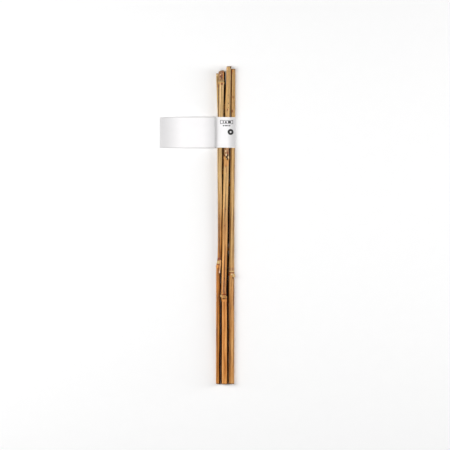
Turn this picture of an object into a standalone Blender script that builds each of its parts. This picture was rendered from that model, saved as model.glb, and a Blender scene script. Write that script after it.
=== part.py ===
"""Five bamboo garden canes held together by a folded paper band, lying on the ground.

Each piece is modelled standing: +Z runs up the canes, +X to the right and -Y towards the
viewer. The empty "bundle" then lays everything on its back, so a point's distance towards
the viewer here becomes its height above the ground.
"""
import math

import bmesh
import bpy
from mathutils import Matrix, Vector

MM = 0.001

# Driving sizes, in millimetres
BUNDLE_LENGTH = 600.0
HALF_LENGTH = BUNDLE_LENGTH / 2
BUNDLE_SHIFT = 52.4

# Cane sections
CANE_SIDES = 20
RING_STEP = 30.0
KINK_REACH = 6.0
KINK_STEPS = 3
RIM_CHAMFER = 0.5
PITH_RADIUS = 1.7
PITH_DEPTH = 25.0
DIAPHRAGM = 3.0
CUT_REACH = 12.0

# A node, measured from its sheath scar: positive distances lie towards the cane's top end
SCAR_HEIGHT = 0.50
SCAR_CENTRE = 0.6
SCAR_WIDTH = 1.6
RIDGE_HEIGHT = 0.85
RIDGE_CENTRE = -4.2
RIDGE_WIDTH = 2.8
NODE_CLEARANCE = 16.0
NODE_RINGS = (13.0, 8.0, 4.5, 2.6, 1.4, 0.6, -0.4, -1.4, -2.8, -4.2, -5.6, -7.4, -9.6, -13.0)

# Paper band
BAND_TOP = 203.4
BAND_HEIGHT = 57.7
PAPER = 0.3
BAND_GAP = 0.3
FOLD_ACROSS = -18.6
FOLD_HEIGHT = 10.5
FLAG_TIP_ACROSS = -123.6
FLAG_TIP_HEIGHT = 0.5
FLAG_RISE = 24.0
FLAG_STEPS = 24
HULL_STEPS = 72
SAME_POINT = 0.05

# Routes hold (along, across, height) and girths (along, radius), from the top end down.
CANES = {
    "cane_left": {
        "top": 292.6,
        "route": (
            (292.6, -7.9, 16.1), (217.0, -8.7, 16.0), (141.0, -10.8, 15.8), (47.0, -10.2, 14.8),
            (-56.0, -10.4, 12.1), (-78.0, -13.3, 11.3), (-300.0, -13.7, 4.35),
        ),
        "girth": (
            (292.6, 5.2), (217.0, 5.1), (141.0, 4.8), (47.0, 4.4), (-60.0, 3.9), (-82.0, 4.3),
            (-300.0, 4.3),
        ),
        "nodes": (271.7, -73.6),
        "cut_slope": 0.24,
        "cut_crown": 1.3,
        "colour": (0.48, 0.27, 0.11),
    },
    "cane_middle": {
        "top": 300.0,
        "route": (
            (300.0, 6.6, 11.3), (236.0, 4.6, 12.0), (174.0, 2.6, 12.8), (141.0, 2.0, 13.2),
            (47.0, -0.1, 14.4), (-47.0, -1.5, 15.5), (-128.0, -3.5, 16.2), (-143.0, -2.1, 16.35),
            (-300.0, -2.0, 16.3),
        ),
        "girth": (
            (300.0, 4.6), (217.0, 4.9), (47.0, 5.0), (-47.0, 4.8), (-128.0, 4.8), (-145.0, 5.2),
            (-300.0, 5.2),
        ),
        "nodes": (130.5, -131.2),
        "cut_slope": 0.06,
        "cut_crown": 0.5,
        "colour": (0.55, 0.32, 0.13),
    },
    "cane_right": {
        "top": 295.3,
        "route": (
            (295.3, 14.4, 5.2), (210.0, 13.8, 5.0), (140.0, 13.5, 5.0), (47.0, 12.3, 5.4),
            (-47.0, 11.5, 5.7), (-92.0, 11.3, 5.95), (-300.0, 11.1, 6.1),
        ),
        "girth": (
            (295.3, 4.3), (145.0, 4.4), (47.0, 4.7), (-84.0, 5.0), (-100.0, 5.35), (-300.0, 5.35),
        ),
        "nodes": (-89.4,),
        "cut_slope": -0.04,
        "cut_crown": 0.3,
        "colour": (0.50, 0.30, 0.12),
    },
    "cane_back": {
        "top": 286.3,
        "route": (
            (286.3, -12.6, 5.6), (217.0, -10.8, 5.5), (145.0, -7.9, 5.4), (19.0, -5.5, 5.3),
            (-85.0, -4.4, 5.3), (-300.0, -4.3, 5.4),
        ),
        "girth": ((286.3, 4.7), (-300.0, 4.7)),
        "nodes": (104.0, -112.0),
        "cut_slope": 0.0,
        "cut_crown": 0.0,
        "colour": (0.46, 0.27, 0.11),
    },
    "cane_inner": {
        "top": 290.5,
        "route": (
            (290.5, -4.1, 4.4), (226.0, -1.5, 4.4), (200.0, -1.0, 4.2), (150.0, 5.1, 4.1),
            (94.0, 4.2, 3.9), (76.0, 3.8, 3.8), (58.0, 4.4, 3.7), (19.0, 4.45, 3.4),
            (-30.0, 4.1, 3.2), (-46.0, 3.1, 3.2), (-62.0, 4.0, 3.15), (-74.0, 4.1, 3.1),
            (-92.0, 2.83, 3.0), (-116.0, 3.78, 3.0), (-150.0, 3.2, 2.95), (-300.0, 3.2, 2.8),
        ),
        "girth": (
            (290.5, 3.6), (190.0, 3.4), (60.0, 3.0), (-20.0, 2.5), (-300.0, 2.4),
        ),
        "nodes": (226.0, 80.0, -42.0),
        "cut_slope": 0.0,
        "cut_crown": 0.0,
        "colour": (0.34, 0.19, 0.08),
    },
}

# A bud is a squashed ball seated on its cane: angle from straight up, positive to the right,
# how far its centre lies under the skin, and half its size across, along and outwards.
BUDS = (
    {"cane": "cane_right", "along": -96.2, "angle": 45.0, "sunk": 0.5, "half": (3.0, 4.4, 2.7)},
    {"cane": "cane_middle", "along": -133.5, "angle": -62.0, "sunk": 0.3, "half": (2.0, 2.8, 2.2)},
    {"cane": "cane_middle", "along": 126.8, "angle": 8.0, "sunk": 0.1, "half": (1.6, 3.0, 1.2)},
)
BUD_SIDES = 14
BUD_RINGS = 9

# The twig stub left on the left cane: its root and its cut tip, as (along, across, height).
TWIG_CANE = "cane_left"
TWIG_ROOT = (-66.0, -9.6, 14.6)
TWIG_TIP = (-90.5, -10.9, 15.4)
TWIG_ROOT_RADIUS = 1.6
TWIG_TIP_RADIUS = 1.15
TWIG_SIDES = 10

PAPER_COLOUR = (0.9, 0.9, 0.9)


def clear_scene():
    for item in list(bpy.data.objects):
        bpy.data.objects.remove(item, do_unlink=True)


def new_collection(name):
    collection = bpy.data.collections.new(name)
    bpy.context.scene.collection.children.link(collection)
    return collection


def finish_material(name, colour, roughness):
    material = bpy.data.materials.new(name)
    material.use_nodes = True
    shader = material.node_tree.nodes["Principled BSDF"]
    shader.inputs["Base Color"].default_value = (*colour, 1.0)
    shader.inputs["Roughness"].default_value = roughness
    shader.inputs["Metallic"].default_value = 0.0
    return material


def standing(along, across, height):
    """Place a point of the bundle in the standing frame, in metres."""
    return Vector((across, -height, along)) * MM


def straight_value(points, along, column):
    """Read one column of a table of points at a place along the cane."""
    for upper, lower in zip(points, points[1:]):
        if along >= lower[0] or lower is points[-1]:
            share = (along - lower[0]) / (upper[0] - lower[0])
            return lower[column] + share * (upper[column] - lower[column])


def smooth_value(points, along, column):
    """Average over a short reach, so that a cane bends instead of breaking."""
    steps = range(-KINK_STEPS, KINK_STEPS + 1)
    places = [along + KINK_REACH * step / KINK_STEPS for step in steps]
    return sum(straight_value(points, place, column) for place in places) / len(places)


def swelling(cane, along):
    """How far the nodes raise the skin at a place along the cane."""
    raised = 0.0
    for node in cane["nodes"]:
        scar = (along - node - SCAR_CENTRE) / SCAR_WIDTH
        ridge = (along - node - RIDGE_CENTRE) / RIDGE_WIDTH
        raised += SCAR_HEIGHT * math.exp(-scar * scar) + RIDGE_HEIGHT * math.exp(-ridge * ridge)
    return raised


def ring_places(cane):
    """List the heights of a cane's rings, from the top rim down to the bottom rim."""
    top = cane["top"] - RIM_CHAMFER
    bottom = -HALF_LENGTH + RIM_CHAMFER
    count = math.ceil((top - bottom) / RING_STEP)
    even = [top + (bottom - top) * step / count for step in range(count + 1)]
    near_node = [node + offset for node in cane["nodes"] for offset in NODE_RINGS]
    clear_of_nodes = [
        place for place in even
        if place in (top, bottom) or all(abs(place - node) > NODE_CLEARANCE for node in cane["nodes"])
    ]
    inside = [place for place in near_node if bottom + 1 < place < top - 1]
    return sorted(clear_of_nodes + inside, reverse=True)


def pith_depth(cane, end):
    """The pith hollow is open down to the first diaphragm, or for a short way."""
    to_node = min(abs(end - node) for node in cane["nodes"])
    return min(PITH_DEPTH, to_node - DIAPHRAGM)


def cane_profile(cane):
    """Outline of half a straight cane, from the top hollow down its skin to the bottom hollow."""
    top = cane["top"]
    bottom = -HALF_LENGTH
    girth = cane["girth"]
    top_floor = top - pith_depth(cane, top)
    bottom_floor = bottom + pith_depth(cane, bottom)
    outline = [(0.0, top_floor), (PITH_RADIUS, top_floor), (PITH_RADIUS, top)]
    outline.append((straight_value(girth, top, 1) - RIM_CHAMFER, top))
    for along in ring_places(cane):
        outline.append((straight_value(girth, along, 1) + swelling(cane, along), along))
    outline.append((straight_value(girth, bottom, 1) - RIM_CHAMFER, bottom))
    outline += [(PITH_RADIUS, bottom), (PITH_RADIUS, bottom_floor), (0.0, bottom_floor)]
    return outline


def turned_mesh(name, outline):
    """Turn an outline about the Z axis with a Screw modifier and keep the result as a mesh."""
    wire = bpy.data.meshes.new(name + "_profile")
    points = [(radius * MM, 0.0, along * MM) for radius, along in outline]
    wire.from_pydata(points, [(step, step + 1) for step in range(len(points) - 1)], [])
    turning = bpy.data.objects.new(name + "_turning", wire)
    bpy.context.scene.collection.objects.link(turning)
    screw = turning.modifiers.new("turn", "SCREW")
    screw.axis = "Z"
    screw.steps = CANE_SIDES
    screw.render_steps = CANE_SIDES
    screw.use_merge_vertices = True
    screw.merge_threshold = 0.00001
    evaluated = turning.evaluated_get(bpy.context.evaluated_depsgraph_get())
    mesh = bpy.data.meshes.new_from_object(evaluated)
    mesh.name = name
    bpy.data.objects.remove(turning, do_unlink=True)
    return mesh


def top_cut(cane, along, offset_across):
    """How far a slanting, slightly crowned cut drops the skin near the top end."""
    near_top = max(0.0, 1.0 - (cane["top"] - along) / CUT_REACH)
    slope = cane["cut_slope"]
    radius = straight_value(cane["girth"], along, 1)
    share = offset_across / radius
    slant = radius * (slope * share - abs(slope))
    return near_top * (slant - cane["cut_crown"] * share * share)


def bend_cane(mesh, cane):
    """Move a straight cane onto its route, slant its top cut and flatten what meets the ground."""
    for vertex in mesh.vertices:
        along = vertex.co.z / MM
        offset_across = vertex.co.x / MM
        offset_height = -vertex.co.y / MM
        slant = top_cut(cane, along, offset_across)
        across = smooth_value(cane["route"], along, 1) + offset_across
        height = smooth_value(cane["route"], along, 2) + offset_height
        vertex.co = standing(along + slant, across, max(height, 0.0))


def skin_frame(cane, along, angle, sunk):
    """Give the seat of a bud: its centre, and its across, along and outward directions."""
    turn = math.radians(angle)
    outward = standing(0.0, math.sin(turn), math.cos(turn)).normalized()
    length = Vector((0.0, 0.0, 1.0))
    across = length.cross(outward)
    axis = standing(along, smooth_value(cane["route"], along, 1), smooth_value(cane["route"], along, 2))
    reach = straight_value(cane["girth"], along, 1) + swelling(cane, along) - sunk
    return axis + outward * reach * MM, across, length, outward


def add_helper(mesh, name, helpers):
    helper = bpy.data.objects.new(name, mesh)
    helper.hide_render = True
    helper.display_type = "WIRE"
    helpers.objects.link(helper)
    return helper


def make_bud(bud, name, helpers):
    centre, across, length, outward = skin_frame(
        CANES[bud["cane"]], bud["along"], bud["angle"], bud["sunk"]
    )
    half_across, half_along, half_out = bud["half"]
    build = bmesh.new()
    bmesh.ops.create_uvsphere(build, u_segments=BUD_SIDES, v_segments=BUD_RINGS, radius=MM)
    columns = (across * half_across, length * half_along, outward * half_out)
    turn = Matrix([[column[row] for column in columns] for row in range(3)]).to_4x4()
    bmesh.ops.transform(build, matrix=Matrix.Translation(centre) @ turn, verts=build.verts)
    mesh = bpy.data.meshes.new(name)
    build.to_mesh(mesh)
    build.free()
    return add_helper(mesh, name, helpers)


def make_twig(name, helpers):
    root = standing(*TWIG_ROOT)
    tip = standing(*TWIG_TIP)
    along = tip - root
    build = bmesh.new()
    bmesh.ops.create_cone(
        build, cap_ends=True, segments=TWIG_SIDES, radius1=TWIG_ROOT_RADIUS * MM,
        radius2=TWIG_TIP_RADIUS * MM, depth=along.length,
    )
    turn = along.to_track_quat("Z", "Y").to_matrix().to_4x4()
    place = Matrix.Translation((root + tip) / 2)
    bmesh.ops.transform(build, matrix=place @ turn, verts=build.verts)
    mesh = bpy.data.meshes.new(name)
    build.to_mesh(mesh)
    build.free()
    return add_helper(mesh, name, helpers)


def fuse(target, helper):
    union = target.modifiers.new("grow_" + helper.name, "BOOLEAN")
    union.operation = "UNION"
    union.solver = "EXACT"
    union.object = helper


def make_cane(name, cane, pieces, bundle):
    mesh = turned_mesh(name, cane_profile(cane))
    bend_cane(mesh, cane)
    mesh.materials.append(finish_material(name, cane["colour"], 0.5))
    mesh.shade_smooth()
    body = bpy.data.objects.new(name, mesh)
    body.parent = bundle
    pieces.objects.link(body)
    return body


def band_circles():
    """The cane sections that the band goes round, at its two edges, and its fold."""
    circles = [(FOLD_ACROSS, FOLD_HEIGHT, 0.0)]
    for cane in CANES.values():
        for along in (BAND_TOP, BAND_TOP - BAND_HEIGHT):
            across = smooth_value(cane["route"], along, 1)
            height = smooth_value(cane["route"], along, 2)
            circles.append((across, height, straight_value(cane["girth"], along, 1)))
    return circles


def stretched_outline(offset):
    """Outline of paper pulled tight round the canes at a given distance from them."""
    points = []
    for step in range(HULL_STEPS):
        turn = 2 * math.pi * step / HULL_STEPS
        across, height = math.cos(turn), math.sin(turn)
        furthest = max(band_circles(), key=lambda c: c[0] * across + c[1] * height + c[2])
        reach = furthest[2] + offset
        point = (furthest[0] + reach * across, furthest[1] + reach * height)
        if not points or math.dist(point, points[-1]) > SAME_POINT:
            points.append(point)
    return points


def flag_line():
    """Middle of the flag, from the fold out to its free edge on the ground."""
    length = FLAG_TIP_ACROSS - FOLD_ACROSS
    fall = FOLD_HEIGHT + FLAG_RISE - FLAG_TIP_HEIGHT
    line = []
    for step in range(FLAG_STEPS + 1):
        share = step / FLAG_STEPS
        height = FOLD_HEIGHT + FLAG_RISE * share - fall * share * share
        line.append((FOLD_ACROSS + length * share, height))
    return line


def band_outline():
    """Outer outline of the band, going round the canes and out along both faces of the flag."""
    ring = stretched_outline(BAND_GAP + PAPER)
    flag = flag_line()
    first = next(k for k, point in enumerate(ring) if point[0] < FOLD_ACROSS + PAPER)
    last = max(k for k, point in enumerate(ring) if point[0] < FOLD_ACROSS + PAPER)
    upper = [(across, height + PAPER) for across, height in flag[1:]]
    lower = [(across, height - PAPER) for across, height in flag[1:]]
    return ring[:first] + upper + lower[::-1] + ring[last + 1:]


def make_label(name, pieces, bundle):
    """The band: its outline, with the hole for the canes, pulled out to the band's height."""
    curve = bpy.data.curves.new(name, "CURVE")
    curve.dimensions = "2D"
    curve.fill_mode = "BOTH"
    curve.extrude = BAND_HEIGHT / 2 * MM
    for outline in (band_outline(), stretched_outline(BAND_GAP)):
        spline = curve.splines.new("POLY")
        spline.points.add(len(outline) - 1)
        spline.use_cyclic_u = True
        for point, (across, height) in zip(spline.points, outline):
            point.co = (across * MM, height * MM, 0.0, 1.0)
    curve.materials.append(finish_material(name, PAPER_COLOUR, 0.6))
    label = bpy.data.objects.new(name, curve)
    label.parent = bundle
    label.rotation_euler = (math.radians(180), 0.0, 0.0)
    label.location = (0.0, 0.0, (BAND_TOP - BAND_HEIGHT / 2) * MM)
    pieces.objects.link(label)
    return label


def main():
    clear_scene()
    pieces = new_collection("bamboo_cane_bundle")
    helpers = new_collection("cutters")
    bundle = bpy.data.objects.new("bundle", None)
    bundle.location = (BUNDLE_SHIFT * MM, 0.0, 0.0)
    bundle.rotation_euler = (math.radians(-90), 0.0, 0.0)
    pieces.objects.link(bundle)
    bodies = {name: make_cane(name, cane, pieces, bundle) for name, cane in CANES.items()}
    for number, bud in enumerate(BUDS, start=1):
        helper = make_bud(bud, f"bud_{number}", helpers)
        helper.parent = bundle
        fuse(bodies[bud["cane"]], helper)
    twig = make_twig("twig", helpers)
    twig.parent = bundle
    fuse(bodies[TWIG_CANE], twig)
    make_label("label", pieces, bundle)


main()
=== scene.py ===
"""Looks of a bundle of bamboo canes in a paper band, lying on a pale floor under soft light.

The canes' skins and the paper are fine meshes built over the CAD solids. Lengths are in
millimetres up to the point where a mesh is made, and MM turns them into metres.
"""

import bpy
import numpy as np
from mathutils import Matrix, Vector


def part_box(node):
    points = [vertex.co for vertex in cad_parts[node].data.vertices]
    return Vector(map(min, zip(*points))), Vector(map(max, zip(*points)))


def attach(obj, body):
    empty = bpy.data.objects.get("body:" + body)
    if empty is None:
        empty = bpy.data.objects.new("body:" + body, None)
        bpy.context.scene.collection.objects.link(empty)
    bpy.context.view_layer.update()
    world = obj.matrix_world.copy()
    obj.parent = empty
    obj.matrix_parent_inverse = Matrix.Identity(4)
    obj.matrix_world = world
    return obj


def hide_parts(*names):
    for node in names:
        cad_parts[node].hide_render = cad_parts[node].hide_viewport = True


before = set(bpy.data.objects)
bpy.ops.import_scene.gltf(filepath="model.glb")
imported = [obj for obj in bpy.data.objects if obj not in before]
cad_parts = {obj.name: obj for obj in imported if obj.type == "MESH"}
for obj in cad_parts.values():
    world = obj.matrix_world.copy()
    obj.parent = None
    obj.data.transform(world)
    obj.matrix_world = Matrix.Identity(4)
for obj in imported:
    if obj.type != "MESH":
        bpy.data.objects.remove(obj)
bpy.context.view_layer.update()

MM = 0.001

# Camera: straight above, with a long lens so that high and low canes keep their places
PHOTO_PIXELS = 450
PIXEL_MM = 1.887
CAMERA_X = 51.5
CAMERA_DISTANCE = 6000.0
FOCUS_HEIGHT = 10.0
CLIP_END = 20.0

# Lights: (name, place, width and length in metres, watts), all aimed at one spot, under a dim sky
LIGHTS = (
    ("left_softbox", (-0.85, 0.12, 2.10), (0.7, 3.0), 48.0),
    ("right_strip", (2.00, 0.12, 1.05), (0.5, 2.6), 32.0),
    ("left_strip", (-2.10, 0.12, 0.75), (0.4, 2.4), 12.0),
)
LIGHT_AIM = (0.05, 0.0, 0.0)
SKY_STRENGTH = 0.055
FLOOR_SIZE = 8.0

# Mesh fineness
CANE_SIDES = 72
RING_STEP = 0.9

# A node, measured from its sheath scar: positive distances lie towards the cane's top end
LIP_HEIGHT = 0.50
LIP_CENTRE = 0.6
LIP_WIDTH = 1.6
LIP_BREAK = 0.5
RIDGE_HEIGHT = 0.85
RIDGE_CENTRE = -4.2
RIDGE_WIDTH = 2.8
SCAR_WOBBLE = 0.45

# Cut ends
RIM_CHAMFER = 0.5
PITH_RADIUS = 1.7
PITH_DEPTH = 12.0
PITH_MOUTH = 1.0
PITH_TAPER = 0.9
PITH_POINT = 0.02
CUT_REACH = 12.0
END_MARGIN = 0.05
FLOOR_CLEARANCE = 0.05
END_RINGS = 9
RIM_REACH = 3.0

# Reading a CAD cane: its thinnest ring of skin and not of pith hollow, its fewest points, and how
# far from a scar and from the bundle's ends its girth is read
SMALLEST_GIRTH = 2.1
FEWEST_POINTS = 18
NODE_CLEARANCE = 12.5
END_CLEARANCE = 0.3
HALF_LENGTH = 300.0

# Skin: long shallow flutes left as the stem dried
FLUTE_DEPTH = 0.07
FLUTE_WAVES = (3, 5, 7, 11)

# some streaks are painted highlights on lit flanks or painted shade on flanks and tops that neighbouring
# canes shade
# Each cane holds these, with distances along it in mm and angles in degrees from straight up,
# positive to the right:
#   seed: for the random ripples and splinters of its skin
#   top, cut_slope, cut_crown and ragged: where and how its top end is cut
#   gloss: how much its skin shines
#   swells: where its skin is stouter than the CAD's, each as (along, reach, extra radius)
#   nodes: its scar's place, then reaches measured from the scar for the rough red-brown zone
#     above, the pale ring and the orange zone below, each with its strength
#   buds: (along, angle, sunk, half across, half along, half outwards)
#   streaks: (angle, width, tone, start, end); a tone above zero is pale, one below is dark
#   marks: (kind, along, angle, half along, half angle)
#   upper and lower: its dark, middle and pale colours, and turn, where one gives way to the other
CANES = {
    "cane_left": {
        "seed": 11, "top": 292.6, "cut_slope": 0.24, "cut_crown": 1.3, "ragged": 0.9, "gloss": 0.20,
        "swells": (),
        "nodes": (
            {
                "scar": 271.7, "rough": (1.5, 20.0, 0.75), "pale": (-2.4, 0.6, 0.75),
                "glow": (-6.0, -2.4, 0.3),
            },
            {
                "scar": -73.6, "rough": (6.3, 12.5, 0.70), "pale": (0.6, 6.0, 0.85),
                "glow": (-6.5, -1.8, 0.7),
            },
        ),
        "buds": (),
        # The dark streaks on its right flank, at 50 and 76 degrees, are painted shade where the middle cane
        # shades it
        "streaks": (
            (-54, 13, -1.90, 268, 228), (-54, 11, -0.60, 228, 150), (-18, 13, 1.10, 268, 230),
            (-20, 11, 0.45, 230, 150), (10, 7, -0.50, 264, 150), (36, 10, 0.75, 266, 150),
            (62, 12, 1.10, 300, 150), (-76, 10, 0.50, 150, -70), (-40, 9, -0.30, 150, -70),
            (-10, 10, -0.45, 60, -62), (14, 9, 0.30, 140, -60), (38, 9, 0.35, 140, 10),
            (76, 14, -1.90, 140, -70), (-70, 14, 0.30, -78, -300), (-30, 10, -0.15, -78, -300),
            (2, 11, 0.30, -78, -130), (50, 17, -2.30, -72, -300), (-4, 9, -0.15, -120, -300),
            (0, 60, -0.14, 25, -66),
        ),
        "marks": (
            ("red", 266.0, 15, 2.4, 15), ("red", 288.0, -52, 1.6, 12), ("red", 288.5, 34, 1.6, 12),
            ("dark", 279.0, -20, 1.3, 9), ("dark", 277.2, 12, 1.5, 10), ("red", 281.0, 2, 2.2, 16),
            ("pale", 284.0, -14, 1.2, 8), ("orange", 283.0, 54, 7.0, 12), ("red", -74.1, -20, 0.8, 50),
            # The long red mark at -80 mm beside the twig is a painted shadow of the twig
            ("orange", -78.0, -30, 3.2, 24), ("dark", -70.2, 34, 1.6, 10), ("red", -80.0, 8, 7.0, 6),
            ("orange", -69.5, 36, 3.0, 12), ("red", -63.5, -10, 1.8, 40),
        ),
        "upper": ((0.10, 0.038, 0.014), (0.500, 0.312, 0.108), (0.80, 0.52, 0.25)),
        "lower": ((0.050, 0.012, 0.006), (0.510, 0.175, 0.021), (0.76, 0.35, 0.080)),
        "turn": (110, -84),
    },
    "cane_middle": {
        "seed": 23, "top": 300.0, "cut_slope": 0.06, "cut_crown": 0.5, "ragged": 0.35, "gloss": 0.20,
        "swells": ((225, 14, 0.50),),
        "nodes": (
            {
                "scar": 130.5, "rough": (1.2, 17.0, 0.65), "pale": (-1.2, 0.8, 0.25),
                "glow": (-20.0, -1.0, 0.5),
            },
            {
                "scar": -131.2, "rough": (2.0, 26.0, 0.30), "pale": (-6.4, -0.5, 0.30),
                "glow": (-13.0, -8.0, 0.8),
            },
        ),
        "buds": (
            (-133.5, -62.0, 0.3, 2.0, 2.8, 2.2),
            (126.8, 8.0, 0.1, 1.6, 3.0, 1.2),
        ),
        # The pale streaks on its left flank, at -60 and -38 degrees, are partly painted highlights
        "streaks": (
            (-60, 16, 0.80, 300, 205), (-36, 11, 0.90, 300, 236), (-14, 9, -0.30, 300, 140),
            (14, 8, 0.25, 300, 205), (46, 10, 0.45, 300, 200), (78, 9, -0.50, 300, 140),
            (-38, 13, 1.40, 140, -128),
            (-8, 10, -0.50, 125, -40), (2, 13, -0.90, -40, -128), (30, 10, 0.55, 125, -128),
            (62, 11, 0.80, 140, -126), (84, 8, -1.00, 140, -300), (-84, 8, -1.20, 140, -128),
            (-80, 14, -1.90, -138, -300), (-38, 13, 1.50, -138, -300), (-8, 10, -0.20, -138, -300),
            (20, 8, 0.80, -138, -300), (48, 12, 0.60, -138, -300),
        ),
        "marks": (
            ("dark", 298.2, 44, 2.0, 15), ("dark", 245.0, 2, 0.9, 6), ("dark", 229.0, 12, 1.0, 6),
            ("red", 217.0, 0, 2.2, 9), ("dark", 221.5, 14, 0.7, 5),
            ("red", 135.6, 24, 2.6, 15), ("red", 131.8, -50, 1.3, 30), ("pale", 132.0, -6, 2.0, 14),
            ("dark", 131.4, 25, 2.1, 13), ("dark", 128.2, 5, 2.3, 13), ("dark", 124.6, 24, 2.4, 13),
            ("pale", 127.6, 48, 2.2, 14), ("pale", 139.5, -18, 1.5, 12), ("red", 111.0, -6, 3.0, 8),
            ("red", 103.0, 4, 4.0, 7), ("red", 29.5, 4, 1.2, 16), ("red", -1.5, -8, 1.3, 9),
            ("dark", -101.0, 8, 2.2, 11), ("dark", -139.0, -10, 0.8, 34),
            ("orange", -142.0, -24, 2.6, 22), ("red", -131.2, 20, 1.0, 40),
        ),
        "upper": ((0.13, 0.060, 0.026), (0.535, 0.325, 0.122), (0.90, 0.54, 0.20)),
        "lower": ((0.080, 0.024, 0.009), (0.490, 0.152, 0.013), (0.86, 0.41, 0.115)),
        "turn": (110, -136),
    },
    "cane_right": {
        "seed": 37, "top": 295.3, "cut_slope": -0.04, "cut_crown": 0.3, "ragged": 0.3, "gloss": 0.20,
        "swells": ((225, 14, 0.25),),
        "nodes": (
            {"scar": -89.4, "rough": (3.0, 9.0, 0.55), "pale": (0.6, 2.8, 0.8), "glow": (-12.0, -6.0, 0.2)},
        ),
        "buds": ((-96.2, 45.0, 0.5, 3.0, 4.4, 2.7),),
        # The dark streaks on its left flank, at -50 to -80 degrees, are painted shade where the middle cane
        # shades it
        "streaks": (
            (-50, 14, -1.25, 300, 200), (-74, 11, -1.30, 200, -84), (4, 10, 0.40, 145, 40),
            (14, 11, 0.50, 40, -84), (42, 10, -0.55, 145, -84), (-24, 8, -0.25, 145, -84),
            (-10, 9, 0.25, 300, 150), (22, 8, -0.25, 300, 150), (56, 11, 0.30, 300, 150),
            (24, 9, 0.60, -100, -300), (50, 10, -0.60, -94, -300), (-80, 9, -1.10, -94, -300),
            (-8, 9, 0.15, -94, -300), (76, 10, 0.30, 145, -300),
        ),
        "marks": (
            ("red", 241.5, 2, 2.4, 13), ("orange", 291.0, -8, 2.4, 16), ("red", 287.0, -36, 4.0, 14),
            ("red", 215.0, -10, 2.5, 12), ("red", -93.4, -46, 1.9, 15), ("pale", -92.6, 8, 1.3, 14),
            ("dark", -99.8, 32, 1.0, 16), ("red", -90.1, -10, 0.8, 60),
        ),
        "upper": ((0.12, 0.036, 0.015), (0.505, 0.278, 0.084), (0.80, 0.53, 0.22)),
        "lower": ((0.085, 0.026, 0.011), (0.535, 0.228, 0.050), (0.78, 0.47, 0.18)),
        "turn": (-50, -115),
    },
    "cane_back": {
        "seed": 53, "top": 286.3, "cut_slope": 0.0, "cut_crown": 0.0, "ragged": 0.3, "gloss": 0.05,
        "swells": (),
        "nodes": (
            {"scar": 104.0, "rough": (1.5, 9.0, 0.5), "pale": (-0.5, 1.6, 0.5), "glow": (-8.0, -1.5, 0.4)},
            {"scar": -112.0, "rough": (1.5, 9.0, 0.5), "pale": (-0.5, 1.6, 0.5), "glow": (-8.0, -1.5, 0.4)},
        ),
        "buds": (),
        # The wide dark streak facing up on its lower length and its near-black lower dark are painted shade
        # for the gap above it
        "streaks": (
            (-64, 20, 1.10, 300, 210), (-24, 12, -1.00, 280, 225), (-24, 55, -3.0, 150, -300),
            (150, 20, 0.30, 300, -300), (-130, 16, -0.30, 300, -300),
        ),
        "marks": (("pale", 283.5, -40, 1.8, 14), ("red", 262.0, -24, 3.0, 10)),
        "upper": ((0.13, 0.060, 0.024), (0.470, 0.295, 0.100), (0.70, 0.47, 0.21)),
        "lower": ((0.012, 0.006, 0.004), (0.400, 0.180, 0.050), (0.62, 0.34, 0.13)),
        "turn": (150, 90),
    },
    "cane_inner": {
        "seed": 67, "top": 290.5, "cut_slope": 0.0, "cut_crown": 0.0, "ragged": 0.3, "gloss": 0.03,
        "swells": ((102, 46, 0.70),),
        "nodes": (
            {"scar": 226.0, "rough": (1.5, 7.0, 0.4), "pale": (-0.5, 1.6, 0.3), "glow": (-7.0, -1.5, 0.3)},
            {"scar": 80.0, "rough": (1.5, 7.0, 0.4), "pale": (-0.5, 1.6, 0.3), "glow": (-7.0, -1.5, 0.3)},
            {"scar": -42.0, "rough": (1.5, 7.0, 0.4), "pale": (-0.5, 1.6, 0.3), "glow": (-7.0, -1.5, 0.3)},
        ),
        "buds": (),
        # Its wide dark streak facing up and its near-black colours are painted shade for the deep gaps
        # above it
        "streaks": ((10, 105, -3.0, 300, -300), (150, 25, 0.45, 300, -300), (-140, 20, 0.25, 300, -300)),
        "marks": (),
        "upper": ((0.016, 0.009, 0.006), (0.230, 0.125, 0.048), (0.38, 0.22, 0.09)),
        "lower": ((0.012, 0.007, 0.004), (0.210, 0.098, 0.034), (0.36, 0.18, 0.06)),
        "turn": (20, -110),
    },
}

# Colours of the marks, painted in this order, and of the parts of a cane's skin and cut ends
MARK_SHADES = {
    "orange": (0.72, 0.30, 0.06), "red": (0.24, 0.050, 0.020), "pale": (0.88, 0.66, 0.38),
    "dark": (0.022, 0.006, 0.004),
}
BLOTCH_SHADES = ((0.21, 0.075, 0.035), (0.47, 0.25, 0.13))
RING_SHADE = (0.66, 0.47, 0.20)
GLOW_SHADE = (0.66, 0.27, 0.065)
SCAR_SHADE = (0.075, 0.010, 0.007)
SPECK_SHADE = (0.13, 0.055, 0.025)
BUD_SHADE = (0.64, 0.44, 0.19)
BUD_EDGE_SHADE = (0.17, 0.06, 0.025)
RIM_SHADE = (0.17, 0.065, 0.026)
END_SHADE = (0.50, 0.33, 0.16)
BUNDLE_SHADE = (0.19, 0.09, 0.04)
PITH_SHADE = (0.10, 0.05, 0.025)
STAIN_SHADE = (0.28, 0.15, 0.07)

# Twig stub beside the left cane's lower node, as (along, across, height), root to cut tip
TWIG_ROUTE = ((-66.0, -9.4, 14.8), (-73.0, -9.5, 15.7), (-81.0, -10.3, 16.0), (-90.5, -11.2, 15.9))
TWIG_RADII = (1.6, 1.5, 1.3, 1.15)
TWIG_SIDES = 28
TWIG_ROWS = 60
TWIG_CAP_ROWS = 6
TWIG_ROUGHNESS = 0.05
BARK_SHADES = ((0.46, 0.19, 0.06), (0.86, 0.48, 0.18))
WORN_SHADES = ((0.62, 0.40, 0.27), (0.92, 0.74, 0.58))
TWIG_CUT_SHADE = (0.78, 0.62, 0.45)

# How far the canes' middle line lies to the right of the origin, as the flag counts in the box
BUNDLE_SHIFT = 52.4

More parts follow.
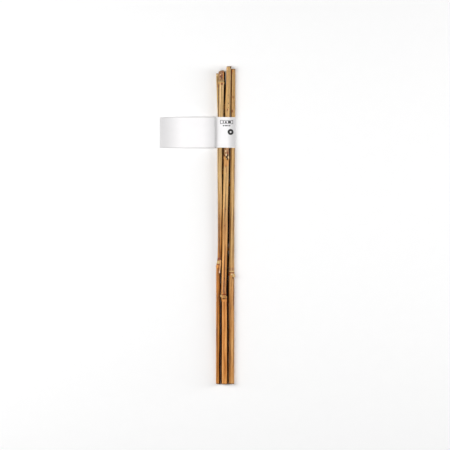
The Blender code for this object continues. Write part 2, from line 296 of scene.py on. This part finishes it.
# Paper band: a thin sheet that runs SHEET_MIDDLE off the canes, and whose two ends lie FLAG_HALF to
# each side of the flag's middle
BAND_TOP = 203.4
BAND_HEIGHT = 57.7
SHEET = 0.22
SHEET_MIDDLE = 0.45
FLAG_HALF = 0.13
FOLD_ACROSS = -18.6
FOLD_HEIGHT = 10.5
FLAG_TIP_ACROSS = -123.5
FLAG_TIP_HEIGHT = 0.5
FLAG_RISE = 24.0
FLAG_POINTS = 90
LOOP_HEADINGS = 721
SHEET_STEP = 1.2
SHEET_ROWS = 40
PAPER_WAVE = 0.05
PAPER_SHADE = 0.95
PAPER_TINT = (1.0, 0.985, 0.992)
PAPER_FLECK = (0.66, 0.65, 0.66)
INK_SHADE = (0.010, 0.009, 0.010)

# Print on the band: bars and a box as (left, right, low, high), beside the canes' middle line and
# along them, and a ring as (across, along, inner radius, outer radius)
PRINT_BOX = (-9.9, 14.2, 190.4, 197.7)
PRINT_LINE = 0.9
PRINT_SOFT = 0.12
PRINT_BARS = (
    (-5.1, -3.3, 192.2, 196.0), (-1.0, 2.4, 192.2, 195.4), (4.6, 10.3, 192.2, 196.0),
    (-4.8, -2.6, 186.0, 188.2), (-1.6, 4.4, 186.2, 188.0), (5.2, 9.2, 186.2, 188.0),
)
PRINT_RING = (9.6, 175.4, 1.6, 5.6)


def smoothstep(low, high, value):
    share = np.clip((value - low) / (high - low), 0.0, 1.0)
    return share * share * (3.0 - 2.0 * share)


def bell(value, centre, width):
    return np.exp(-((value - centre) / width) ** 2)


def turn_gap(angle, centre):
    """Signed difference between two angles in degrees, the short way round."""
    return (angle - centre + 180.0) % 360.0 - 180.0


class Axis:
    """Centre line and girth of a CAD cane, read from its whole rings below the slanting cut."""

    def __init__(self, name, cane):
        rows = {}
        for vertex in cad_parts[name].data.vertices:
            rows.setdefault(round(vertex.co.y / MM, 1), set()).add(
                (round(vertex.co.x / MM, 2), round(vertex.co.z / MM, 2))
            )
        table = []
        for along, points in sorted(rows.items()):
            ring = np.array(sorted(points))
            low, high = ring.min(0), ring.max(0)
            radius = (high[0] - low[0]) / 2
            whole = len(ring) >= FEWEST_POINTS and along < cane["top"] - CUT_REACH
            if whole and radius > SMALLEST_GIRTH:
                table.append((along, (high[0] + low[0]) / 2, high[1] - radius, radius))
        self.table = np.array(table)
        scars = [node["scar"] for node in cane["nodes"]]
        plain = [row for row in table if all(abs(row[0] - scar) > NODE_CLEARANCE for scar in scars)]
        inner = [row for row in plain if abs(abs(row[0]) - HALF_LENGTH) > END_CLEARANCE]
        self.girth_table = np.array(inner)
        self.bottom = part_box(name)[0].y / MM

    def extend(self, table, along, column):
        """Read the table, going on straight past its last ring at each end."""
        value = np.interp(along, table[:, 0], table[:, column])
        for first, second, beyond in ((0, 1, along < table[0, 0]), (-1, -2, along > table[-1, 0])):
            run = table[second, 0] - table[first, 0]
            slope = (table[second, column] - table[first, column]) / run
            value = np.where(beyond, table[first, column] + slope * (along - table[first, 0]), value)
        return value

    def centre(self, along):
        return self.extend(self.table, along, 1), self.extend(self.table, along, 2)

    def girth(self, along):
        return np.interp(along, self.girth_table[:, 0], self.girth_table[:, 3])


def slow_waves(rng, angle, along, waves, length):
    """Smooth ripples round the stem that drift slowly along it."""
    total = np.zeros(np.broadcast(angle, along).shape)
    for count in waves:
        phase = rng.uniform(0, 2 * np.pi)
        drift = rng.uniform(0.6, 1.4) * length
        swing = np.sin(along / drift + rng.uniform(0, 2 * np.pi))
        total += np.cos(count * np.radians(angle) + phase + 0.8 * swing) / len(waves)
    return total


def node_gaps(cane, along, angle, rng):
    """Signed distance from each scar, whose line wanders a little round the stem."""
    wander = SCAR_WOBBLE * slow_waves(rng, angle, along * 0, (1, 2, 3, 5), 1.0)
    return [along - node["scar"] + wander for node in cane["nodes"]]


def node_relief(gaps):
    relief = 0.0
    for gap in gaps:
        lip = LIP_HEIGHT * bell(gap, LIP_CENTRE, LIP_WIDTH) * smoothstep(-LIP_BREAK, 0.15, gap)
        relief = relief + lip + RIDGE_HEIGHT * bell(gap, RIDGE_CENTRE, RIDGE_WIDTH)
    return relief


def bud_relief(cane, along, angle, radius):
    """Height of the buds above the skin, and how much of a bud each point is."""
    height = np.zeros(np.broadcast(along, angle).shape)
    share = np.zeros_like(height)
    for place, turn, sunk, half_across, half_along, half_out in cane["buds"]:
        across = np.radians(turn_gap(angle, turn)) * radius / half_across
        reach = (along - place) / half_along
        round_off = np.sqrt(across ** 2 + reach ** 2)
        dome = half_out * np.sqrt(np.clip(1.0 - round_off ** 2, 0.0, 1.0)) - sunk
        height = np.maximum(height, dome)
        share = np.maximum(share, 1.0 - smoothstep(0.75, 1.15, round_off))
    return height, share


def streak_and_painted_light_tone(cane, along, angle, rng):
    # Streaks of the skin's own colour, with painted highlights and painted shade on the flanks
    tone = np.zeros(np.broadcast(along, angle).shape)
    for turn, width, strength, start, end in cane["streaks"]:
        wander = 5.0 * np.sin(along / rng.uniform(45, 90) + rng.uniform(0, 6.3))
        fade = smoothstep(end - 8, end + 8, along) * (1 - smoothstep(start - 8, start + 8, along))
        waver = 1.0 + 0.35 * np.sin(along / rng.uniform(12, 30) + rng.uniform(0, 6.3))
        tone += strength * waver * fade * bell(turn_gap(angle, turn + wander), 0.0, width)
    return tone


def mark_layers(cane, along, angle):
    """One soft-edged layer for each kind of mark."""
    layers = {kind: np.zeros(np.broadcast(along, angle).shape) for kind in MARK_SHADES}
    for kind, place, turn, half_along, half_angle in cane["marks"]:
        reach = ((along - place) / half_along) ** 2 + (turn_gap(angle, turn) / half_angle) ** 2
        layers[kind] = np.maximum(layers[kind], np.exp(-0.7 * reach))
    return layers


def top_cut(cane, along, offset_across, angle, rng):
    """How far the slanting, ragged cut drops the skin near the top end."""
    slope, top = cane["cut_slope"], cane["top"]
    radius = np.abs(offset_across).max()
    share = offset_across / radius
    slant = radius * (slope * share - abs(slope)) - cane["cut_crown"] * share ** 2
    splinters = slow_waves(rng, angle, along * 0, (4, 7, 11, 17), 1.0)
    slant = slant - cane["ragged"] * np.clip(0.35 + splinters, 0.0, 1.0)
    return slant * np.clip(1.0 - (top - along) / CUT_REACH, 0.0, 1.0)


def rim_share(along, bottom, top):
    """1 at the cut ends of the skin, fading to 0 a little way in."""
    inwards = np.minimum(along - bottom, top - along)
    return 1.0 - smoothstep(0.3, RIM_REACH, inwards)


def add_attribute(mesh, name, kind, values):
    layer = mesh.attributes.new(name, kind, "POINT")
    key = "vector" if kind == "FLOAT_VECTOR" else "value"
    layer.data.foreach_set(key, np.ascontiguousarray(values, np.float32).ravel())


def grid_mesh(name, points, wrap_columns=False, attributes=()):
    """Make a mesh from rows of points, joining each row to the next."""
    rows, columns = points.shape[:2]
    mesh = bpy.data.meshes.new(name)
    number = np.arange(rows * columns).reshape(rows, columns)
    across = np.roll(number, -1, 1) if wrap_columns else number[:, 1:]
    here = number if wrap_columns else number[:, :-1]
    faces = np.stack([here[:-1], across[:-1], across[1:], here[1:]], -1).reshape(-1, 4)
    mesh.from_pydata((points.reshape(-1, 3) * MM).tolist(), [], faces.tolist())
    for key, kind, values in attributes:
        add_attribute(mesh, key, kind, values)
    return mesh


def add_object(name, mesh, material):
    piece = bpy.data.objects.new(name, mesh)
    bpy.context.scene.collection.objects.link(piece)
    mesh.materials.append(material)
    mesh.shade_smooth()
    return piece


def cane_points(cane, axis, rng):
    """Lay the skin, the cut ends and the pith hollows of one cane out as rows of points."""
    angle = np.linspace(-180.0, 180.0, CANE_SIDES, endpoint=False)[None, :]
    top = cane["top"] - END_MARGIN
    count = int((top - axis.bottom) / RING_STEP)
    skin = np.linspace(axis.bottom + RIM_CHAMFER, top - RIM_CHAMFER, count)
    swell = sum(extra * bell(skin, place, reach) for place, reach, extra in cane["swells"])
    radius = axis.girth(skin) + swell
    bottom_end = np.linspace(PITH_RADIUS, radius[0] - RIM_CHAMFER, END_RINGS)
    top_end = np.linspace(radius[-1] - RIM_CHAMFER, PITH_RADIUS, END_RINGS)

    pith = np.array([PITH_POINT, PITH_RADIUS * PITH_TAPER, PITH_RADIUS])
    depth = np.array([PITH_DEPTH, PITH_DEPTH, PITH_MOUTH])
    stretches = (
        (axis.bottom + depth, pith, 1.0),
        (np.full(END_RINGS, axis.bottom), bottom_end, 1.0),
        (skin, radius, 0.0),
        (np.full(END_RINGS, top), top_end, 1.0),
        (top - depth[::-1], pith[::-1], 1.0),
    )
    along = np.concatenate([stretch[0] for stretch in stretches])[:, None]
    radius = np.concatenate([stretch[1] for stretch in stretches])[:, None]
    cut = np.concatenate([np.full(len(stretch[0]), stretch[2]) for stretch in stretches])[:, None]
    cut = cut * np.ones_like(angle)
    outside = 1.0 - cut

    gaps = node_gaps(cane, along + 0 * angle, angle, rng)
    bud_height, bud = bud_relief(cane, along, angle, radius)
    flutes = FLUTE_DEPTH * slow_waves(rng, angle, along, FLUTE_WAVES, 60.0)
    reach = radius + outside * (node_relief(gaps) + bud_height - FLUTE_DEPTH + flutes)
    turn = np.radians(angle)
    offset_across = reach * np.sin(turn)
    offset_height = reach * np.cos(turn)

    slant = top_cut(cane, along, offset_across, angle, rng)
    centre_across, centre_height = axis.centre(along)
    height = np.maximum(centre_height + offset_height, FLOOR_CLEARANCE)
    points = np.stack([centre_across + offset_across, along + slant, height], -1)
    culm = np.stack([offset_across, offset_height, along + 0 * angle], -1)
    layers = {
        "culm": ("FLOAT_VECTOR", culm * MM),
        "bud": ("FLOAT", bud * outside),
        "cut": ("FLOAT", cut),
        "tone": ("FLOAT", streak_and_painted_light_tone(cane, along + 0 * angle, angle, rng)),
        "depth": ("FLOAT", reach),
        "rim": ("FLOAT", rim_share(along + 0 * angle, axis.bottom, top)),
    }
    for number, gap in enumerate(gaps):
        layers[f"gap_{number}"] = ("FLOAT", gap)
    for kind, layer in mark_layers(cane, along, angle).items():
        layers["mark_" + kind] = ("FLOAT", layer * outside)
    return points, layers


class Nodes:
    """Small helper for wiring a material's nodes."""

    def __init__(self, name):
        self.material = bpy.data.materials.new(name)
        self.material.use_nodes = True
        self.tree = self.material.node_tree
        self.shader = self.tree.nodes["Principled BSDF"]

    def add(self, kind, inputs=(), **settings):
        node = self.tree.nodes.new(kind)
        for key, value in settings.items():
            setattr(node, key, value)
        for socket, value in dict(inputs).items():
            self.feed(node.inputs[socket], value)
        return node

    def feed(self, socket, value):
        if isinstance(value, bpy.types.NodeSocket):
            self.tree.links.new(value, socket)
        else:
            socket.default_value = value

    def attribute(self, name, output="Fac"):
        return self.add("ShaderNodeAttribute", attribute_name=name).outputs[output]

    def math(self, operation, *values, clamp=False):
        node = self.add("ShaderNodeMath", operation=operation, use_clamp=clamp)
        for socket, value in zip(node.inputs, values):
            self.feed(socket, value)
        return node.outputs[0]

    def scale(self, vector, factors):
        inputs = {0: vector, 1: factors}
        return self.add("ShaderNodeVectorMath", inputs, operation="MULTIPLY").outputs[0]

    def noise(self, vector, scale, detail=3.0, roughness=0.55):
        inputs = {"Vector": vector, "Scale": scale, "Detail": detail, "Roughness": roughness}
        return self.add("ShaderNodeTexNoise", inputs).outputs["Fac"]

    def ramp(self, value, low, high):
        """0 below low, 1 above high and smooth between; low may be above high."""
        inputs = {"Value": value, "From Min": low, "From Max": high}
        return self.add("ShaderNodeMapRange", inputs, interpolation_type="SMOOTHSTEP").outputs[0]

    def band(self, value, low, high, soft):
        """1 between low and high, with soft edges."""
        rise = self.ramp(value, low - soft, low + soft)
        fall = self.ramp(value, high + soft, high - soft)
        return self.math("MULTIPLY", rise, fall)

    def mix(self, share, first, second, blend="MIX"):
        node = self.add("ShaderNodeMix", data_type="RGBA", blend_type=blend)
        self.feed(node.inputs["Factor"], share)
        self.feed(node.inputs["A"], first if not isinstance(first, tuple) else (*first, 1.0))
        self.feed(node.inputs["B"], second if not isinstance(second, tuple) else (*second, 1.0))
        return node.outputs["Result"]

    def bump(self, height, strength, distance):
        inputs = {"Height": height, "Strength": strength, "Distance": distance}
        return self.add("ShaderNodeBump", inputs).outputs[0]


def three_tones(n, share, palette):
    """Dark below zero, middle at zero and pale above, as the share runs from -1 to 1."""
    dark, middle, pale = palette
    lighter = n.mix(n.math("MULTIPLY", share, 1.0, clamp=True), middle, pale)
    return n.mix(n.math("MULTIPLY", share, -1.0, clamp=True), lighter, dark)


def centred(n, field, gain, base):
    """Add a noise field, taken about its middle value, to a base."""
    return n.math("MULTIPLY_ADD", n.math("SUBTRACT", field, 0.5), gain, base)


def node_colours(n, cane, colour, mottle, strand):
    """Paint each node: rough zone above, pale ring, dark scar line and orange zone below."""
    relief = 0.0
    for number, node in enumerate(cane["nodes"]):
        gap = n.attribute(f"gap_{number}")
        ragged = centred(n, mottle, 5.0, gap)
        low, high, strength = node["rough"]
        rough = n.math("MULTIPLY", n.band(ragged, low, high, 1.5), strength)
        blotch = n.mix(n.ramp(mottle, 0.40, 0.60), *BLOTCH_SHADES)
        colour = n.mix(rough, colour, blotch)
        low, high, strength = node["pale"]
        pale = n.math("MULTIPLY", n.band(centred(n, mottle, 2.0, gap), low, high, 0.5), strength)
        colour = n.mix(pale, colour, RING_SHADE)
        low, high, strength = node["glow"]
        glow = n.math("MULTIPLY", n.band(ragged, low, high, 1.2), strength)
        colour = n.mix(glow, colour, GLOW_SHADE)
        fine_gap = centred(n, strand, 0.8, gap)
        scar = n.math("MULTIPLY", n.band(fine_gap, -0.95, 0.25, 0.25), n.ramp(mottle, 0.25, 0.45))
        colour = n.mix(n.math("MULTIPLY", scar, 0.95), colour, SCAR_SHADE)
        relief = n.math("MULTIPLY_ADD", n.math("ADD", rough, glow), mottle, relief)
        relief = n.math("MULTIPLY_ADD", scar, -1.0, relief)
    return colour, relief


def mark_colours(n, colour, mottle):
    """Paint the red, dark, orange and pale marks, with edges broken up by the mottle."""
    for kind, shade in MARK_SHADES.items():
        spot = centred(n, mottle, 0.8, n.attribute("mark_" + kind))
        colour = n.mix(n.math("MULTIPLY", n.ramp(spot, 0.32, 0.54), 0.95), colour, shade)
    return colour


def end_grain(n, culm, mottle):
    """Cut end: pale wood with dark fibre bundles round a dark pith hollow."""
    cells = {"Vector": n.scale(culm, (1.0, 1.0, 0.05)), "Scale": 1700.0}
    bundles = n.ramp(n.add("ShaderNodeTexVoronoi", cells).outputs["Distance"], 0.36, 0.18)
    colour = n.mix(n.math("MULTIPLY", bundles, 0.6), END_SHADE, BUNDLE_SHADE)
    colour = n.mix(n.ramp(n.attribute("depth"), 2.1, 1.6), colour, PITH_SHADE)
    return n.mix(n.math("MULTIPLY", n.ramp(mottle, 0.45, 0.7), 0.4), colour, STAIN_SHADE)


def cane_material(name, cane):
    """Dried bamboo: long fibres, streaks, mottles, and the rings and scars of its nodes."""
    n = Nodes(name)
    culm = n.attribute("culm", "Vector")
    cut = n.attribute("cut")
    bud = n.attribute("bud")

    fibre = n.noise(n.scale(culm, (1.0, 1.0, 0.012)), 5200.0, 3.0, 0.6)
    strand = n.noise(n.scale(culm, (1.0, 1.0, 0.02)), 1100.0, 3.0, 0.55)
    streak = n.noise(n.scale(culm, (1.0, 1.0, 0.03)), 380.0, 2.0, 0.5)
    mottle = n.noise(n.scale(culm, (1.0, 1.0, 0.45)), 420.0, 4.0, 0.65)
    patch = n.noise(n.scale(culm, (1.0, 1.0, 0.30)), 60.0, 2.0, 0.5)

    # tone carries the streaks, with their painted highlights and painted shade
    share = centred(n, streak, 3.0, n.attribute("tone"))
    share = centred(n, strand, 2.8, share)
    share = centred(n, mottle, 0.9, share)
    share = centred(n, fibre, 0.9, share)
    share = centred(n, patch, 0.9, share)

    along = n.add("ShaderNodeSeparateXYZ", {0: culm}).outputs["Z"]
    start, end = cane["turn"]
    lower_share = n.ramp(centred(n, patch, 0.06, along), start * MM, end * MM)
    upper = three_tones(n, share, cane["upper"])
    colour = n.mix(lower_share, upper, three_tones(n, share, cane["lower"]))

    speck_field = n.noise(n.scale(culm, (1.0, 1.0, 0.5)), 1000.0, 2.0, 0.5)
    colour = n.mix(n.math("MULTIPLY", n.ramp(speck_field, 0.70, 0.76), 0.6), colour, SPECK_SHADE)

    colour, relief = node_colours(n, cane, colour, mottle, strand)
    bud_edge = n.band(bud, 0.12, 0.55, 0.1)
    colour = n.mix(n.math("MULTIPLY", n.ramp(bud, 0.30, 0.75), 0.85), colour, BUD_SHADE)
    colour = n.mix(n.math("MULTIPLY", bud_edge, 0.5), colour, BUD_EDGE_SHADE)
    colour = mark_colours(n, colour, mottle)
    rim = n.ramp(centred(n, mottle, 2.0, n.attribute("rim")), 0.35, 0.85)
    colour = n.mix(n.math("MULTIPLY", rim, 0.7), colour, RIM_SHADE)
    colour = n.mix(cut, colour, end_grain(n, culm, mottle))
    n.feed(n.shader.inputs["Base Color"], colour)

    rough = n.math("MULTIPLY_ADD", fibre, 0.22, 0.30)
    rough = n.math("MULTIPLY_ADD", relief, 0.12, rough)
    rough = n.math("MULTIPLY_ADD", cut, 0.35, rough, clamp=True)
    n.feed(n.shader.inputs["Roughness"], rough)
    n.shader.inputs["Specular IOR Level"].default_value = cane["gloss"]

    height = n.math("MULTIPLY_ADD", fibre, 0.35, n.math("MULTIPLY", strand, 0.7))
    height = n.math("ADD", height, n.math("MULTIPLY", relief, 1.2))
    n.feed(n.shader.inputs["Normal"], n.bump(height, 0.6, 0.00025))
    return n.material


def make_cane(name, cane):
    rng = np.random.default_rng(cane["seed"])
    axis = Axis(name, cane)
    points, layers = cane_points(cane, axis, rng)
    attributes = [(key, kind, values) for key, (kind, values) in layers.items()]
    mesh = grid_mesh(name + "_skin", points, wrap_columns=True, attributes=attributes)
    skin = add_object(name + "_skin", mesh, cane_material(name, cane))
    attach(skin, "root")
    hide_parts(name)
    return axis


def smooth_route(route, radii, count):
    """Pass a smooth curve through a short list of points."""
    places = np.linspace(0, len(route) - 1, count)
    keys = np.arange(len(route))
    fit = [np.polyfit(keys, [point[k] for point in route], len(route) - 1) for k in range(3)]
    path = np.stack([np.polyval(f, places) for f in fit], -1)
    return path, np.interp(places, keys, radii)


def make_twig():
    """The cut stub of a twig, lying along the left cane below its node."""
    path, radii = smooth_route(TWIG_ROUTE, TWIG_RADII, TWIG_ROWS)
    turn = np.linspace(2 * np.pi, 0, TWIG_SIDES, endpoint=False)
    rng = np.random.default_rng(71)
    waves = slow_waves(rng, np.degrees(turn)[None, :], path[:, :1], (2, 4, 7), 5.0)
    skin = radii[:, None] + TWIG_ROUGHNESS * (waves - 1.0)
    shrink = np.linspace(0.92, 0.01, TWIG_CAP_ROWS)[:, None]
    reach = np.concatenate([skin[:1] * shrink[::-1], skin, skin[-1:] * shrink])
    path = np.concatenate([
        path[:1].repeat(TWIG_CAP_ROWS, 0), path, path[-1:].repeat(TWIG_CAP_ROWS, 0),
    ])
    along, across, height = path[:, :1], path[:, 1:2], path[:, 2:]
    side, up = reach * np.sin(turn), reach * np.cos(turn)
    slant = 0.5 * up * smoothstep(-84.0, -90.0, along)
    points = np.stack([across + side + BUNDLE_SHIFT, along + slant, height + up], -1)
    cut = np.concatenate([np.zeros(TWIG_CAP_ROWS + TWIG_ROWS), np.ones(TWIG_CAP_ROWS)])
    cut = cut[:, None] * np.ones(TWIG_SIDES)
    culm = np.stack([side, up, along + 0 * side], -1)
    attributes = (
        ("culm", "FLOAT_VECTOR", culm * MM),
        ("cut", "FLOAT", cut),
    )
    mesh = grid_mesh("twig_stub", points, wrap_columns=True, attributes=attributes)
    twig = add_object("twig_stub", mesh, twig_material())
    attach(twig, "root")


def twig_material():
    """Twig bark that wears to pale wood at the cut tip."""
    n = Nodes("twig")
    culm = n.attribute("culm", "Vector")
    cut = n.attribute("cut")
    strand = n.noise(n.scale(culm, (1.0, 1.0, 0.05)), 2600.0, 3.0, 0.6)
    mottle = n.noise(n.scale(culm, (1.0, 1.0, 0.3)), 420.0, 3.0, 0.6)
    along = n.add("ShaderNodeSeparateXYZ", {0: culm}).outputs["Z"]
    tip_share = n.ramp(n.math("MULTIPLY_ADD", mottle, 0.008, along), -0.078, -0.086)
    colour = n.mix(tip_share, n.mix(strand, *BARK_SHADES), n.mix(strand, *WORN_SHADES))
    colour = n.mix(n.math("MULTIPLY", cut, n.ramp(mottle, 0.35, 0.6)), colour, TWIG_CUT_SHADE)
    n.feed(n.shader.inputs["Base Color"], colour)
    n.feed(n.shader.inputs["Roughness"], n.math("MULTIPLY_ADD", strand, 0.2, 0.45))
    n.feed(n.shader.inputs["Normal"], n.bump(strand, 0.5, 0.0002))
    return n.material


def band_sections(axes):
    """The cane sections that the band goes round, at its two edges, and its fold."""
    circles = [(FOLD_ACROSS + BUNDLE_SHIFT, FOLD_HEIGHT, 0.0)]
    for axis in axes.values():
        for along in (BAND_TOP, BAND_TOP - BAND_HEIGHT):
            across, height = axis.centre(np.array(along))
            circles.append((float(across), float(height), float(axis.girth(along))))
    return np.array(circles)


def loop_outline(sections, offset):
    """Outline of paper pulled tight round the canes, from the fold over the top and back."""
    turn = np.linspace(np.pi, -np.pi, LOOP_HEADINGS)
    heading = np.stack([np.cos(turn), np.sin(turn)], -1)
    reach = heading @ sections[:, :2].T + sections[:, 2]
    furthest = sections[reach.argmax(1)]
    outline = furthest[:, :2] + (furthest[:, 2:] + offset) * heading
    near_fold = outline[:, 0] < FOLD_ACROSS + BUNDLE_SHIFT + 0.05
    return outline[~near_fold]


def flag_outline():
    """Middle of the flag, from the fold out to its free edge on the ground."""
    share = np.linspace(0.0, 1.0, FLAG_POINTS)
    fall = FOLD_HEIGHT + FLAG_RISE - FLAG_TIP_HEIGHT
    across = FOLD_ACROSS + (FLAG_TIP_ACROSS - FOLD_ACROSS) * share + BUNDLE_SHIFT
    height = FOLD_HEIGHT + FLAG_RISE * share - fall * share ** 2
    return np.stack([across, height], -1)


def even_steps(path, step):
    """Place points at even steps along a path, and give each one's distance from its start."""
    run = np.concatenate([[0.0], np.cumsum(np.hypot(*np.diff(path, axis=0).T))])
    places = np.linspace(0.0, run[-1], int(run[-1] / step) + 1)
    return np.stack([np.interp(places, run, path[:, k]) for k in range(2)], -1), places


def sheet_path(axes):
    """One strip of paper: in along the flag's upper face, round the canes, and back below."""
    flag = flag_outline()
    upper = flag[::-1] + np.array([0.0, FLAG_HALF])
    lower = flag - np.array([0.0, FLAG_HALF])
    loop = loop_outline(band_sections(axes), SHEET_MIDDLE)
    return np.concatenate([upper[:-1], loop, lower[1:]])


def paper_waves(rng, along, run):
    """Slight unevenness of a handled paper sheet."""
    total = 0.0
    for _ in range(6):
        total = total + np.sin(
            along / rng.uniform(9, 22) + run / rng.uniform(14, 40) + rng.uniform(0, 6.3)
        )
    return total / 6


def paper_painted_shade(across, along, upper):
    """How pale the paper is: painted shade at its fold, beside it, at its free edge and on its right side,
    and a painted highlight along its edges.
    """
    # Painted shade: at the free edge, beside and in the fold, and on the right side
    free_edge = 0.25 * (1.0 - smoothstep(-120.0, -78.0, across))
    by_fold = 0.12 * smoothstep(-46.0, -22.0, across) * (1.0 - smoothstep(-17.0, -5.0, across))
    fold = 0.33 * bell(across, FOLD_ACROSS + 0.6, 2.6)
    right_side = 0.29 * smoothstep(2.0, 15.0, across)
    shade = PAPER_SHADE - (free_edge + by_fold + fold + right_side) * (0.4 + 0.6 * upper)
    # Painted highlight along the band's top and bottom edges
    inwards = np.minimum(BAND_TOP - along, along - BAND_TOP + BAND_HEIGHT)
    edge = (1.0 - smoothstep(0.6, 2.4, inwards)) * (across > FOLD_ACROSS + 1.5)
    return shade + 0.6 * edge * (PAPER_SHADE + 0.04 - shade)


def print_share(n):
    """A plain printed box with three bars, a broken line below it and a plain ring."""
    place = n.add("ShaderNodeSeparateXYZ", {0: n.attribute("place", "Vector")})
    across, along = place.outputs["X"], place.outputs["Y"]

    def block(left, right, low, high):
        wide = n.band(across, left, right, PRINT_SOFT)
        return n.math("MULTIPLY", wide, n.band(along, low, high, PRINT_SOFT))

    total = 0.0
    for left, right, low, high in PRINT_BARS:
        total = n.math("ADD", total, block(left, right, low, high))
    left, right, low, high = PRINT_BOX
    line = PRINT_LINE
    inside = block(left + line, right - line, low + line, high - line)
    total = n.math("ADD", total, n.math("SUBTRACT", block(left, right, low, high), inside))
    ring_across, ring_along, inner, rim = PRINT_RING
    away = [n.math("SUBTRACT", across, ring_across), n.math("SUBTRACT", along, ring_along)]
    squares = [n.math("MULTIPLY", gap, gap) for gap in away]
    reach = n.math("SQRT", n.math("ADD", *squares))
    total = n.math("ADD", total, n.band(reach, inner, rim, 0.25))
    return n.math("MULTIPLY", total, n.attribute("upper"), clamp=True)


def make_label(axes):
    path, run = even_steps(sheet_path(axes), SHEET_STEP)
    along = np.linspace(BAND_TOP, BAND_TOP - BAND_HEIGHT, SHEET_ROWS)[:, None]
    rng = np.random.default_rng(5)
    waves = PAPER_WAVE * paper_waves(rng, along, run[None, :])
    points = np.stack([
        path[None, :, 0] + 0 * along, along + 0 * path[None, :, 0], path[None, :, 1] + waves,
    ], -1)
    sheet = np.stack([run[None, :] + 0 * along, along + 0 * run[None, :], 0 * waves], -1)
    upper = (np.arange(len(run)) <= path[:, 0].argmax()) * 1.0
    place = np.stack([points[..., 0] - BUNDLE_SHIFT, points[..., 1], 0 * waves], -1)
    attributes = (
        ("sheet", "FLOAT_VECTOR", sheet * MM),
        ("place", "FLOAT_VECTOR", place),
        ("upper", "FLOAT", upper[None, :] + 0 * along),
        # The paper's painted shade and painted edge highlight
        ("shade", "FLOAT", paper_painted_shade(place[..., 0], place[..., 1], upper[None, :])),
    )
    mesh = grid_mesh("label_paper", points, attributes=attributes)
    label = add_object("label_paper", mesh, paper_material())
    thick = label.modifiers.new("paper", "SOLIDIFY")
    thick.thickness = SHEET * MM
    thick.offset = 0.0
    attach(label, "root")
    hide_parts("label")


def paper_material():
    """Coated white paper with faint fibres, painted shade, a painted edge highlight and black print."""
    n = Nodes("paper")
    sheet = n.attribute("sheet", "Vector")
    fibre = n.noise(sheet, 2600.0, 4.0, 0.6)
    cloud = n.noise(sheet, 60.0, 2.0, 0.5)
    shade = centred(n, cloud, 0.05, n.attribute("shade"))
    colour = n.mix(shade, (0.0, 0.0, 0.0), PAPER_TINT)
    colour = n.mix(n.math("MULTIPLY", n.ramp(fibre, 0.6, 0.8), 0.10), colour, PAPER_FLECK)
    ink = n.math("MULTIPLY", print_share(n), n.math("MULTIPLY_ADD", fibre, -0.03, 1.0))
    colour = n.mix(ink, colour, INK_SHADE)
    n.feed(n.shader.inputs["Base Color"], colour)
    n.feed(n.shader.inputs["Roughness"], n.math("MULTIPLY_ADD", fibre, 0.2, 0.45))
    n.shader.inputs["Specular IOR Level"].default_value = 0.2
    n.feed(n.shader.inputs["Normal"], n.bump(fibre, 0.2, 0.00005))
    return n.material


def floor_material():
    n = Nodes("floor")
    place = n.add("ShaderNodeTexCoord").outputs["Object"]
    grain = n.noise(place, 40.0, 3.0, 0.5)
    n.feed(n.shader.inputs["Base Color"], n.mix(grain, (0.96, 0.96, 0.96), (0.98, 0.98, 0.98)))
    n.shader.inputs["Roughness"].default_value = 0.8
    n.shader.inputs["Specular IOR Level"].default_value = 0.2
    return n.material


def make_floor():
    bpy.ops.mesh.primitive_plane_add(size=FLOOR_SIZE, location=(CAMERA_X * MM, 0.0, 0.0))
    floor = bpy.context.object
    floor.name = "floor"
    floor.data.materials.append(floor_material())


def add_light(name, place, size, power):
    light = bpy.data.lights.new(name, "AREA")
    light.shape = "RECTANGLE"
    light.size, light.size_y = size
    light.energy = power
    lamp = bpy.data.objects.new(name, light)
    lamp.location = place
    aim = Vector(LIGHT_AIM) - Vector(place)
    lamp.rotation_euler = aim.to_track_quat("-Z", "Y").to_euler()
    bpy.context.scene.collection.objects.link(lamp)


def light_scene():
    for light in LIGHTS:
        add_light(*light)
    world = bpy.data.worlds.new("studio")
    world.use_nodes = True
    world.node_tree.nodes["Background"].inputs["Color"].default_value = (1.0, 1.0, 1.0, 1.0)
    world.node_tree.nodes["Background"].inputs["Strength"].default_value = SKY_STRENGTH
    bpy.context.scene.world = world
    bpy.context.scene.view_settings.view_transform = "Standard"


def place_camera():
    data = bpy.data.cameras.new("camera")
    frame_width = PHOTO_PIXELS * PIXEL_MM
    data.lens = data.sensor_width * CAMERA_DISTANCE / frame_width
    data.clip_end = CLIP_END
    camera = bpy.data.objects.new("camera", data)
    camera.location = (CAMERA_X * MM, 0.0, (CAMERA_DISTANCE + FOCUS_HEIGHT) * MM)
    bpy.context.scene.collection.objects.link(camera)
    bpy.context.scene.camera = camera


place_camera()
make_floor()
light_scene()
cane_axes = {name: make_cane(name, cane) for name, cane in CANES.items()}
make_twig()
make_label(cane_axes)
